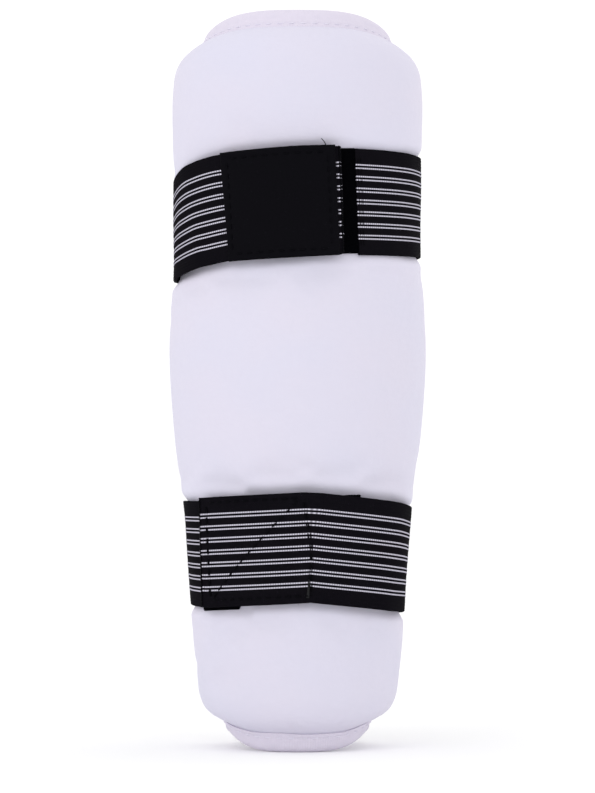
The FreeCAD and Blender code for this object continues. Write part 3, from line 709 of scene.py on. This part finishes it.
def make_lining():
    u, z = sleeve_grid(230, 200, SHEET_INSET, LENGTH - SHEET_INSET)
    offset = lining_offset(u, z)
    lining = layer("lining", u, z, offset + LINING_THICK, offset, LINING)
    place(lining, "shell", "lining_fabric", "inner_lining")


def make_foams():
    """The thin foam sheet and, over it, the thick core with two bend grooves. Both are inside the cover."""
    u, z = sleeve_grid(90, 90, 2.5, LENGTH - 2.5)
    u = u * (tip(z) - 3.0) / tip(z)
    low = lining_offset(u, z) + 1.1
    high = np.maximum(FLANGE_OUT - COVER_THIN * thinning(from_edge(u, z)) - 1.7, low + 0.6)
    sheet = layer("foam_sheet", u, z, high, low, FOAM)
    place(sheet, "shell", "foam", "foam_backing")
    u, z = sleeve_grid(110, 150, PAD_BOTTOM + 4.0, PAD_TOP - 4.0)
    end_part = np.clip(pad_end(z, 3.0), 0, 1)
    u = u / (tip(z) - TIP_INSET) * pad_limit(z, 4.0, rounded(end_part))
    groove = np.clip(1 - np.abs(np.abs(u) - BEND_GROOVE_AT) / 1.5, 0, 1) * 3.0 * end_part
    high = np.maximum(FLANGE_OUT + pad_rise(u, z, 2.2) - DENT * strap_mask(u, z) - 2.4, CORE_LOW + 0.4)
    core = layer("foam_core_pad", u, z, high, np.minimum(CORE_LOW + groove, high - 0.3), FOAM)
    place(core, "shell", "foam", "foam_core")


# ---- bindings and their thread
def edge_top(distance):
    return FLANGE_OUT - COVER_THIN * thinning(distance) + TAPE


def edge_bottom(distance):
    return LINING_THIN * thinning(distance) - TAPE


def tape_section(width, groove):
    """Section of a tape folded over an edge: distance past the edge and offset of each point, as a closed
    ring, with the lengths along it. groove sinks the row of stitches."""
    bend = 2.6
    flat = np.linspace(width, bend, 14)
    sink = groove * (bell(flat - (width - STITCH_INSET), 0.55) + 0.5 * bell(flat - width, 0.4))
    theta = np.linspace(0, math.pi, 13)[1:-1]
    middle, half = (edge_top(bend) + edge_bottom(bend)) / 2, (edge_top(bend) - edge_bottom(bend)) / 2
    past = np.concatenate([-flat, -bend + (bend + FOLD_OUT) * np.sin(theta), -flat[::-1]])
    over, under = edge_top(flat) - sink, edge_bottom(flat) + sink
    offset = np.concatenate([over, middle + half * np.cos(theta), under[::-1]])
    step = np.stack([np.gradient(past), np.gradient(offset)], axis=-1)
    inward = unit(np.stack([step[:, 1], -step[:, 0]], axis=-1)) * (TAPE - 0.1)
    inside = np.stack([past, offset], axis=-1) + inward
    around = np.cumsum(np.hypot(*step.T))
    past, offset = np.concatenate([past, inside[::-1, 0]]), np.concatenate([offset, inside[::-1, 1]])
    return past, offset, np.concatenate([around, around[::-1]])


def make_tape(label, width, distances, ring):
    """A binding tape from its section at each distance along its edge, which ring puts in space."""
    rings, uvs = [], []
    for at in distances:
        groove = 0.2 + 0.12 * math.cos(2 * math.pi * at / STITCH_PITCH)
        past, offset, around = tape_section(width, groove)
        rings.append(ring(at, past, offset))
        uvs.append(np.stack([np.full(len(around), at), around], axis=-1))
    made = swept(label + "_edge_tape", np.array(rings), np.array(uvs), BINDING)
    place(made, "shell", "binding_tape", label + "_binding")


def squeezed(offset, share):
    """Offsets drawn in towards the middle of the edge's thickness."""
    return EDGE_MIDDLE + (offset - EDGE_MIDDLE) * share


def make_side_binding(side, label):
    """The tape along a wing's tip, rounded and pressed flatter at its two ends."""

    def ring(z, past, offset):
        near = min(z, LENGTH - z)
        corner = TIP_ROUND * (1 - rounded(near / TIP_ROUND))
        wobble = 0.18 * math.sin(z / 7.3 + side) + 0.1 * math.sin(z / 2.9)
        past = past - corner * smoothstep(1 + past / 5) + wobble * (past < -5)
        offset = squeezed(offset, 0.35 + 0.65 * math.sqrt(min(near / 2.5, 1.0)))
        return on_sleeve(side * (tip(z) + past), z, offset)

    make_tape(label, SIDE_TAPE_WIDTH, np.linspace(0.0, LENGTH, int(LENGTH / TAPE_STEP) + 1), ring)


def make_end_binding(edge, direction, label):
    """The tape round an end of the sleeve, its ends under the side tapes."""
    fold = edge - direction * FOLD_OUT
    reach = float(tip(fold)) - SIDE_TAPE_WIDTH + 1.2

    def ring(u, past, offset):
        wobble = 0.2 * math.sin(u / 5.1) + 0.12 * math.sin(u / 2.3 + 1)
        past = past + wobble * (past < -5)
        offset = squeezed(offset, 1 - 0.25 * smoothstep((abs(u) - reach + 2.5) / 2.5))
        return on_sleeve(u, fold + direction * past, offset)

    make_tape(label, END_TAPE_WIDTH, np.linspace(-reach, reach, int(2 * reach / TAPE_STEP)), ring)


def stitch_places(low, high, pitch=STITCH_PITCH):
    """Evenly spaced places between two ends, about a pitch apart."""
    count = int((high - low) / pitch)
    return low + (np.arange(count) + 0.5) * (high - low) / count


def joined(rows):
    """Several rows of stitches as one set of centres, directions and normals."""
    return [np.concatenate(parts) for parts in zip(*rows)]


def row_on(surface, a, b, step_a, step_b):
    """Centres, directions and normals of stitches on surface(a, b, offset) at places a, b."""
    centres = surface(a, b, 0.0)
    along = surface(a + step_a, b + step_b, 0.0) - centres
    normals = surface(a, b, 1.0) - centres
    return centres, along, normals


def make_binding_thread(label, width, u, z, step_u, step_z):
    """The stitches along a binding, on its outside and inside."""
    distance = width - STITCH_INSET

    def row(sign, face):
        foot = float(face(distance)) - sign * 0.12
        return row_on(lambda a, b, lift: on_sleeve(a, b, foot + sign * lift), u, z, step_u, step_z)

    rows = row(1, edge_top), row(-1, edge_bottom)
    made = stitches(label + "_binding_stitches", *joined(rows), WHITE_THREAD)
    place(made, "shell", "white_thread", label + "_binding_thread")


def make_bindings():
    for side, label in ((-1, "left"), (1, "right")):
        make_side_binding(side, label)
        z = stitch_places(3.0, LENGTH - 3.0)
        u = side * (tip(z) - SIDE_TAPE_WIDTH + STITCH_INSET)
        make_binding_thread(label, SIDE_TAPE_WIDTH, u, z, 0.0, 0.5)
    for edge, direction, label in ((LENGTH, 1, "top"), (0.0, -1, "bottom")):
        make_end_binding(edge, direction, label)
        height = edge - direction * (FOLD_OUT + END_TAPE_WIDTH - STITCH_INSET)
        reach = float(tip(height)) - 9.5
        u = stitch_places(-reach, reach)
        make_binding_thread(label, END_TAPE_WIDTH, u, height + 0 * u, 0.5, 0.0)


# ---- straps
def arc(centre, radius, start, finish, count):
    angles = np.linspace(start, finish, count)
    return np.stack([centre[0] + radius * np.cos(angles), centre[1] + radius * np.sin(angles)], axis=-1)


def run(start, finish, count):
    return np.array(start) + np.linspace(0, 1, count)[:, None] * (np.array(finish) - np.array(start))


def widest(z, lift):
    """Half the width over the pad, and a lift over it, at a height."""
    return float(half_width(z)) + PAD_OUT + lift


def rear_line(name, z, lift, start_y):
    """From the widest place at a side to the rear corner, then to the middle of the open back."""
    side_x = -widest(z, lift)
    turn = PAD_HEIGHT + lift
    centre = np.array((side_x + turn, CENTRE_DEPTH + 2.0))
    hinge = np.abs(AXES[name + "_back_swing"][:2])
    corner = np.array((-hinge[0], hinge[1]))
    gap = corner - centre
    tangent = math.atan2(gap[1], gap[0]) + math.acos(turn / math.hypot(*gap))
    leave = centre + turn * np.array((math.cos(tangent), math.sin(tangent)))
    return [
        run((side_x, start_y), (side_x, centre[1]), 12),
        arc(centre, turn, math.pi, tangent, 16),
        run(leave, corner, 90),
        run(corner, (0.0, hinge[1]), 70),
    ]


def flap_line(name, z):
    """A flap's middle line from its free end on the front, shaped for the -X side."""
    layers = LOOP_THICK + HOOK_THICK + 3 * PLY_GAP + STRAP_GAP - SINK
    inner = float(half_width(z))
    radius = inner + PAD_OUT + layers + STRAP_HALF
    start = -math.pi / 2 + STRAPS[name]["flap_end"] / inner
    shoulder = -math.pi / 2 - math.radians(40)
    lift = STRAP_HALF + STRAP_GAP - SIDE_SINK
    shift = (radius - widest(z, lift)) / (1 + math.cos(shoulder))
    centre = np.array((0.0, CENTRE_DEPTH))
    side_centre = centre + shift * np.array((math.cos(shoulder), math.sin(shoulder)))
    return [
        arc(centre, radius, start, shoulder, 140),
        arc(side_centre, radius - shift, shoulder, -math.pi, 110),
    ] + rear_line(name, z, lift, side_centre[1])


def anchor_line(name, z):
    """A sewn-down end's middle line from the front, shaped for the -X side."""
    lift = STRAP_HALF + PLY_GAP - SINK
    inner = float(half_width(z))
    turn = (STRAPS[name]["loop"][1] - 0.3) / inner
    begin = (inner + PAD_OUT + lift) * np.array((-math.sin(turn), -math.cos(turn))) + (0.0, CENTRE_DEPTH)
    side_lift = STRAP_HALF + STRAP_GAP - SIDE_SINK
    side_x = -widest(z, side_lift)
    across, forward = begin[0] - side_x, CENTRE_DEPTH - begin[1]
    radius = (across**2 + forward**2) / (2 * across)
    centre = np.array((side_x + radius, CENTRE_DEPTH))
    start = math.atan2(begin[1] - centre[1], begin[0] - centre[0])
    return [arc(centre, radius, start, -math.pi, 160)] + rear_line(name, z, side_lift, centre[1])


def smoothed(values, reach, width):
    """Values averaged with their neighbours on both sides, the ends kept."""
    weights = bell(np.arange(-reach, reach + 1), width)
    padded = np.pad(values, reach, mode="reflect", reflect_type="odd")
    return np.convolve(padded, weights / weights.sum(), mode="valid")


class Band:
    """Half of a strap, from one of its ends to the middle of the back, as a surface over the distances
    along and across it."""

    def __init__(self, name, part):
        strap = STRAPS[name]
        self.middle = strap_middle(name)
        line = flap_line if part == "flap" else anchor_line
        self.levels = self.middle + np.linspace(-32, 32, 9)
        grids = []
        for z in self.levels:
            segments = line(name, float(np.clip(z, 0, LENGTH)))
            whole = np.concatenate([segments[0]] + [segment[1:] for segment in segments[1:]])
            grids.append(np.stack([smoothed(column, 9, 4.5) for column in whole.T], axis=-1))
        self.flip = strap["side"] * (-1 if part == "flap" else 1)
        self.grid = np.array(grids)
        self.line = self.grid[len(self.levels) // 2]
        steps = np.hypot(*np.diff(self.line, axis=0).T)
        self.distance = np.concatenate([[0.0], np.cumsum(steps)])
        self.length = self.distance[-1]
        angle = np.degrees(np.arctan2(self.line[:, 0], CENTRE_DEPTH - self.line[:, 1]))
        angle = np.where(angle > 120, angle - 360, angle)
        self.drop = table(strap[part + "_drop"], angle if part == "flap" else -angle)
        if name == "upper" or part == "anchor":
            self.drop = smoothed(self.drop, 14, 8.0)
        self.skew = strap["skew"][part]
        self.width = table(strap[part + "_width"], np.abs(angle))
        self.kink_lean = strap["kink_lean"] if part == "flap" else 0.0
        self.slope = np.gradient(self.drop, self.distance) * smoothstep((self.length - self.distance) / 20)

    def nearest(self, hinge):
        """Distance along the band to the place nearest to a hinge."""
        away = self.line - (-abs(hinge[0]), hinge[1])
        return self.distance[np.argmin(np.hypot(*away.T))]

    def flat_place(self, s, v):
        """Points in plan, and heights, at a distance from the end and across from the middle line."""
        slope = np.interp(s, self.distance, self.slope)
        width = np.interp(s, self.distance, self.width)
        leaning = self.kink_lean * v * smoothstep((self.length - s) / 60)
        z = self.middle + np.interp(s + leaning, self.distance, self.drop) + v * width
        turned = self.skew * (STRAP_EDGE - v) * (1 - smoothstep(s / 60))
        s = np.clip(s - slope * v, 0.0, self.length) + turned
        level = np.clip((z - self.levels[0]) / (self.levels[1] - self.levels[0]), 0, len(self.levels) - 1.001)
        k = level.astype(int)
        f = (level - k)[..., None]
        index = np.interp(s, self.distance, np.arange(len(self.distance)))
        i = np.minimum(index.astype(int), len(self.distance) - 2)
        g = (index - i)[..., None]

        def at(k):
            return self.grid[k, i] + (self.grid[k, i + 1] - self.grid[k, i]) * g

        return at(k) * (1 - f) + at(k + 1) * f, z

    def place(self, s, v, offset):
        """Points at a distance from the end, across from the middle line, and out from the band's middle."""
        s, v, offset = np.broadcast_arrays(np.asarray(s, float), v, offset)
        xy, z = self.flat_place(s, v)
        ahead, _ = self.flat_place(np.minimum(s + 0.6, self.length), v)
        behind, _ = self.flat_place(np.maximum(s - 0.6, 0.0), v)
        along = unit(ahead - behind)
        out = np.stack([-along[..., 1], along[..., 0]], axis=-1)
        x, y = np.moveaxis(xy + out * offset[..., None], -1, 0)
        return np.stack([x * self.flip, y, z], axis=-1)


def rib_relief(v):
    """Raised thread lines and ribbed edges of the elastic, in mm."""
    in_pair = (v + STRIPE_PITCH / 2) % STRIPE_PITCH - STRIPE_PITCH / 2
    lines = bell(np.abs(in_pair) - STRIPE_APART, 0.26) * (np.abs(v) < EDGE_BAND)
    edges = 0.5 + 0.5 * np.cos(2 * math.pi * v / 1.15)
    return 0.16 * lines + 0.09 * edges * (np.abs(v) > EDGE_BAND)


def make_band(label, band, low, high):
    """A stretch of the elastic between two distances along it."""
    s = np.linspace(low, high, int(high - low) + 1)[:, None]
    flat_half = STRAP_EDGE - 0.35
    face = np.linspace(-flat_half, flat_half, 150)
    theta = np.linspace(-math.pi / 2, math.pi / 2, 5)[1:-1]
    past = flat_half + 0.35 * np.cos(theta)
    v = np.concatenate([face, past, face[::-1], -past])
    thin = STRAP_HALF - 0.1
    relief = thin + rib_relief(face)
    offset = np.concatenate([relief, -thin * np.sin(theta), -relief[::-1], thin * np.sin(theta)])
    wander = 0.12 * np.sin(s / 6.1) * np.sin(v / 9 + 1) + 0.08 * np.sin(s / 2.7 + v / 5)
    rings = band.place(s, v + 0 * s, offset + wander * smoothstep((band.length - s) / 12))
    uv = np.stack([s + 0 * v, v + 0 * s], axis=-1)
    return swept(label, rings, uv, ELASTIC)


def patch(label, band, low, high, across, inner, outer, material, relief=None, step=0.8):
    """A flat piece lying on a band, between two distances along it and a half width across it."""
    rows, columns = int((high - low) / step) + 1, int(2 * across / step) + 1
    s = np.linspace(low, high, rows)[:, None] + np.zeros(columns)
    v = np.linspace(-across, across, columns) + np.zeros((rows, 1))
    from_rim = np.minimum(np.minimum(s - low, high - s), across - np.abs(v))
    top = inner + (outer - inner) * (0.35 + 0.65 * rounded(from_rim / 0.8))
    if relief is not None:
        top = top + relief(s, v, from_rim)
    return slab(label, band.place(s, v, top), band.place(s, v, inner), (s, v), material)


def make_loop_tape(name):
    """Fuzzy tape on the pad: a base with a rough pile, and loose loops standing on it."""
    strap = STRAPS[name]
    start, finish = strap["loop"]
    above, half, slope, lean, corner, seed = strap["loop_form"]
    middle = strap_middle(name) + above
    rows, columns = 92, 110
    u = np.linspace(start, finish, columns) + np.zeros((rows, 1))
    cut_back = corner * smoothstep((15.0 - u) / 0.8)
    v = -half + cut_back + np.linspace(0, 1, rows)[:, None] * (2 * half - cut_back)
    z = middle + v + slope * u
    u = u + lean * (half - v)
    rng = np.random.default_rng(seed)
    fuzz = rng.uniform(-0.12, 0.12, u.shape)
    rim = np.minimum(np.minimum(v + half, half - v), np.minimum(u - u.min(), u.max() - u))
    top = LOOP_THICK * (0.4 + 0.6 * rounded(rim)) + fuzz
    base = PAD_OUT - DENT + PLY_GAP
    foot = base + LOOP_THICK - 0.15

    def on_front(u, z, offset):
        return on_sleeve(-strap["side"] * u, z, offset)

    tape = slab(name + "_loop_tape_pile", on_front(u, z, base + top), on_front(u, z, base), (u, z), PILE)
    place(tape, "shell", "hook_and_loop", name + "_loop_tape")
    count = 900
    ru, rv = rng.uniform(start + 1, finish - 1, count), rng.uniform(-half + 1, half - 1, count)
    rz = middle + rv + slope * ru
    feet = on_front(ru, rz, foot)
    up = on_front(ru, rz, foot + 1.0) - feet
    turn = rng.uniform(0, math.pi, count)
    level = unit(on_front(ru + 0.5, rz, foot) - feet)
    flat = level * np.cos(turn)[:, None] + np.array((0.0, 0.0, 1.0)) * np.sin(turn)[:, None]
    theta = np.linspace(0, math.pi, 6)
    paths = paths_from(feet, (flat, 0.35 * np.cos(theta)), (up, 0.3 * np.sin(theta)))
    loops = tubes(name + "_loop_pile_threads", paths, np.cross(flat, up), np.full(6, 0.05), PILE, sides=3)
    place(loops, "shell", "hook_and_loop")


def make_hook_tape(name, flap, body):
    """Hook tape under a flap: its base, and rows of small hooks that point to the pad."""
    back = -STRAP_HALF - 0.1
    base = patch(name + "_hook_tape_base", flap, 1.0, 46.5, 18.0, back, back - 0.45, HOOK)
    place(base, body, "hook_and_loop", name + "_hook_tape")
    s, v = np.meshgrid(np.arange(2.2, 45.5, 1.5), np.arange(-17.0, 17.1, 1.5), indexing="ij")
    s, v = s.ravel(), v.ravel()
    foot = flap.place(s, v, back - 0.4)
    down = unit(flap.place(s, v, back - 1.4) - foot)
    across = unit(flap.place(s, v + 0.5, back - 0.4) - foot)
    side = np.cross(down, across)
    theta = np.linspace(-0.2, 2.6, 5)
    lean = np.where(np.round(s / 1.5) % 2 == 0, 1.0, -1.0)[:, None]
    sideways, rise = 0.22 * (1 - np.cos(theta)), 0.36 + 0.24 * np.sin(theta)
    paths = paths_from(foot, (across * lean, np.append(0, sideways)), (down, np.append(0, rise)))
    radii = (0.11, 0.1, 0.09, 0.09, 0.08, 0.05)
    hooks = tubes(name + "_hook_tape_hooks", paths, side, radii, HOOK, sides=4)
    place(hooks, body, "hook_and_loop")


def make_hem(name, flap, body):
    """Overlocking thread wrapped over the cut end of a flap."""
    v = np.arange(-STRAP_EDGE + 0.5, STRAP_EDGE - 0.4, 0.66)
    wrap = 1.25
    theta = np.linspace(-wrap, wrap, 9)
    s = 0.35 - 0.55 * np.cos(theta) + 0.55 * (np.abs(theta) / wrap) ** 3
    offset = (STRAP_HALF + 0.16) * np.sin(theta) / math.sin(wrap)
    paths = flap.place(np.maximum(s, 0.0), v[:, None] + 0.5 * theta / wrap, offset)
    end = flap.place(0.0, v, 0.0)
    paths = paths + unit(end - flap.place(1.0, v, 0.0))[:, None] * np.maximum(-s, 0.0)[None, :, None]
    up = flap.place(0.0, v + 0.5, 0.0) - end
    made = tubes(name + "_hem_overlock", paths, up, np.full(9, 0.3), BLACK_THREAD)
    place(made, body, "black_thread", name + "_flap_hem")


def line_of_stitches(band, start, finish, offset):
    """Stitch places on a band from one point (along, across) to another."""
    start, way = np.array(start, float), np.subtract(finish, start)
    length = np.hypot(*way)
    places = start + (stitch_places(0.8, length - 0.8, 3.5) / length)[:, None] * way
    step = way / length * 0.5

    return row_on(lambda a, b, lift: band.place(a, b, offset + lift), *places.T, *step)


def sewn(label, band, lines, offset, body, node, thread=0.3):
    """Rows of black stitches on a band, each from one point to another."""
    rows = [line_of_stitches(band, start, finish, offset) for start, finish in lines]
    made = stitches(label, *joined(rows), BLACK_THREAD, 2.9, thread)
    place(made, body, "black_thread", node)


def make_badge(flap, body):
    """Plain raised patch on the upper flap, with a pressed frame inside its edge."""

    def relief(s, v, from_rim):
        frame_line = -0.22 * bell(from_rim - 2.6, 0.5)
        field = 0.1 * smoothstep((from_rim - 3.6) / 1.5)
        return frame_line + field + 0.05 * ripple(s, v, 51, 6.0) * bell(from_rim - 2.0, 2.0)

    inner = STRAP_HALF + 0.1
    badge = patch("upper_badge_patch", flap, 2.0, 44.0, 20.2, inner, inner + 0.95, BADGE, relief, 0.6)
    place(badge, body, "badge", "upper_badge")
    corners = [(5.0, -17.6), (5.0, 17.6), (41.4, 17.6), (41.4, -17.6)]
    lines = zip(corners, corners[1:] + corners[:1])
    sewn("upper_badge_stitches", flap, lines, inner + 0.78, body, "upper_badge_thread")


def make_box_stitches(flap, body):
    """The box with one diagonal that holds the lower flap's hook tape."""
    low, high = 2.6 - STRAP_EDGE, STRAP_EDGE - 2.0
    lines = [((near, low), (near, high)) for near in (4.4, 4.9)]
    lines += [((far + 5.0, low), (far, high)) for far in (43.2, 43.9)]
    lines += [((5.0, low), (47.5, low)), ((5.0, high), (43.0, high)), ((5.5, low), (42.5, high))]
    sewn("lower_box_stitches", flap, lines, STRAP_HALF + 0.05, body, "lower_box_thread")


def loose_thread(flap, body):
    """A snipped end of black thread at the upper flap's corner."""
    t = np.linspace(0, 1, 9)
    s, v = 5.4 + 1.6 * t**1.5, STRAP_EDGE + 0.2 + 2.6 * t
    path = flap.place(s, v, STRAP_HALF + 0.3 + 0.5 * np.sin(2.2 * t))
    side = flap.place(5.0, 0.0, 1.0) - flap.place(5.0, 0.0, 0.0)
    made = tubes("upper_loose_thread", path[None], side[None], np.linspace(0.2, 0.12, 9), BLACK_THREAD)
    place(made, body, "black_thread")


def about_hinge(spot, towards_start, towards_end):
    """Two points in metres on either side of a hinge."""
    start = spot + HINGE_REACH * unit(towards_start - spot)
    end = spot + HINGE_REACH * unit(towards_end - spot)
    return tuple(start * MM), tuple(end * MM)


def make_strap(name):
    """The strap in three lengths of elastic, and all that is sewn on it."""
    flap, anchor = Band(name, "flap"), Band(name, "anchor")
    body = {part: name + "_" + part for part in ("back", "side", "flap")}
    back, side, peel = (AXES[name + suffix] for suffix in ("_back_swing", "_side_swing", "_flap_peel"))
    split = (flap.nearest(peel) + flap.nearest(back)) / 2
    loose = make_band(name + "_elastic_flap", flap, 0.0, split)
    start, end = about_hinge(peel, peel + (0, 1, 0), peel - (0, 1, 0))
    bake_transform(loose)
    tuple(start)
    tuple(end)
    place(loose, None, "elastic", name + "_strap_flap")
    turn = make_band(name + "_elastic_side", flap, split, flap.length)
    start, end = about_hinge(side, back, peel)
    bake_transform(turn)
    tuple(start)
    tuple(end)
    place(turn, None, "elastic", name + "_strap_side", name + "_strap_back")
    sewn_end = make_band(name + "_elastic_anchor", anchor, 0.0, anchor.length)
    start, end = about_hinge(back, peel * (-1, 1, 1), side)
    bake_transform(sewn_end)
    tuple(start)
    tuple(end)
    place(sewn_end, None, "elastic", name + "_strap_anchor")
    make_loop_tape(name)
    make_hook_tape(name, flap, body["flap"])
    make_hem(name, flap, body["flap"])
    rows = [((at, 2 - STRAP_EDGE), (at, STRAP_EDGE - 2)) for at in (0.9, 2.1)]
    sewn(name + "_anchor_stitches", anchor, rows, STRAP_HALF, "shell", name + "_anchor_thread", 0.13)
    if name == "upper":
        make_badge(flap, body["flap"])
        loose_thread(flap, body["flap"])
    else:
        make_box_stitches(flap, body["flap"])


make_camera()
make_light()
make_floor()
make_cover()
make_lining()
make_foams()
make_bindings()
for strap_name in STRAPS:
    make_strap(strap_name)
